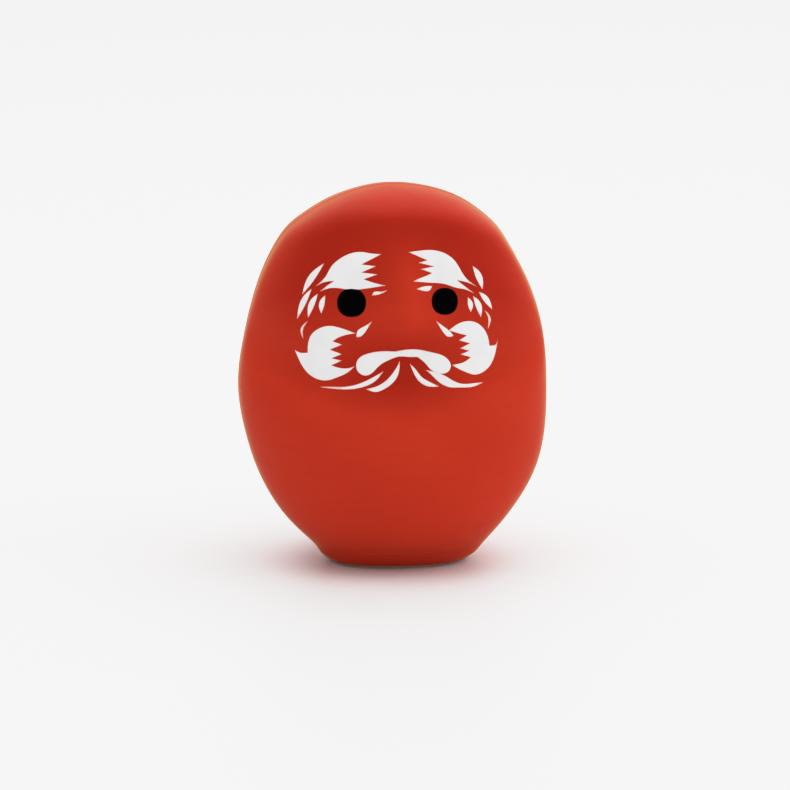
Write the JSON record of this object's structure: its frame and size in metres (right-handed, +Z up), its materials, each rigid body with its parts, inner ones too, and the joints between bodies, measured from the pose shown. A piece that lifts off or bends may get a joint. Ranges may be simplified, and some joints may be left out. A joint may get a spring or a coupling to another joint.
{
  "type": "daruma doll",
  "caption": "Hollow papier-mache tumbler doll, rounded and weighted at the base, with a recessed painted face under a hood.",
  "frame": {"origin": "on the ground under the middle of the doll's bounding box", "axes": "+Z up, the face looks towards -Y, +X towards the viewer's right when facing the doll"},
  "size_m": [0.0812, 0.0794, 0.1],
  "materials": {
    "red_shell": "matte",
    "red_clay": "matte",
    "white_paint": "matte",
    "black_paint": "matte",
    "kraft_paper": "matte",
    "joining_paper": "matte"
  },
  "bodies": {
    "root": {"back_shell": "red_shell", "base_paper": "kraft_paper", "base_weight": "red_clay", "brow_dash_left": "white_paint", "brow_dash_right": "white_paint", "brow_left": "white_paint", "brow_right": "white_paint", "chin_stroke_inner_left": "white_paint", "chin_stroke_inner_right": "white_paint", "chin_stroke_outer_left": "white_paint", "chin_stroke_outer_right": "white_paint", "front_shell": "red_shell", "moustache": "white_paint", "nose_stroke_left": "white_paint", "nose_stroke_right": "white_paint", "pupil_left": "black_paint", "pupil_right": "black_paint", "seam_strip": "joining_paper", "temple_stroke_left_1": "white_paint", "temple_stroke_left_2": "white_paint", "temple_stroke_left_3": "white_paint", "temple_stroke_left_4": "white_paint", "temple_stroke_left_5": "white_paint", "temple_stroke_right_1": "white_paint", "temple_stroke_right_2": "white_paint", "temple_stroke_right_3": "white_paint", "temple_stroke_right_4": "white_paint", "temple_stroke_right_5": "white_paint", "whisker_left": "white_paint", "whisker_right": "white_paint"}
  },
  "joints": []
}
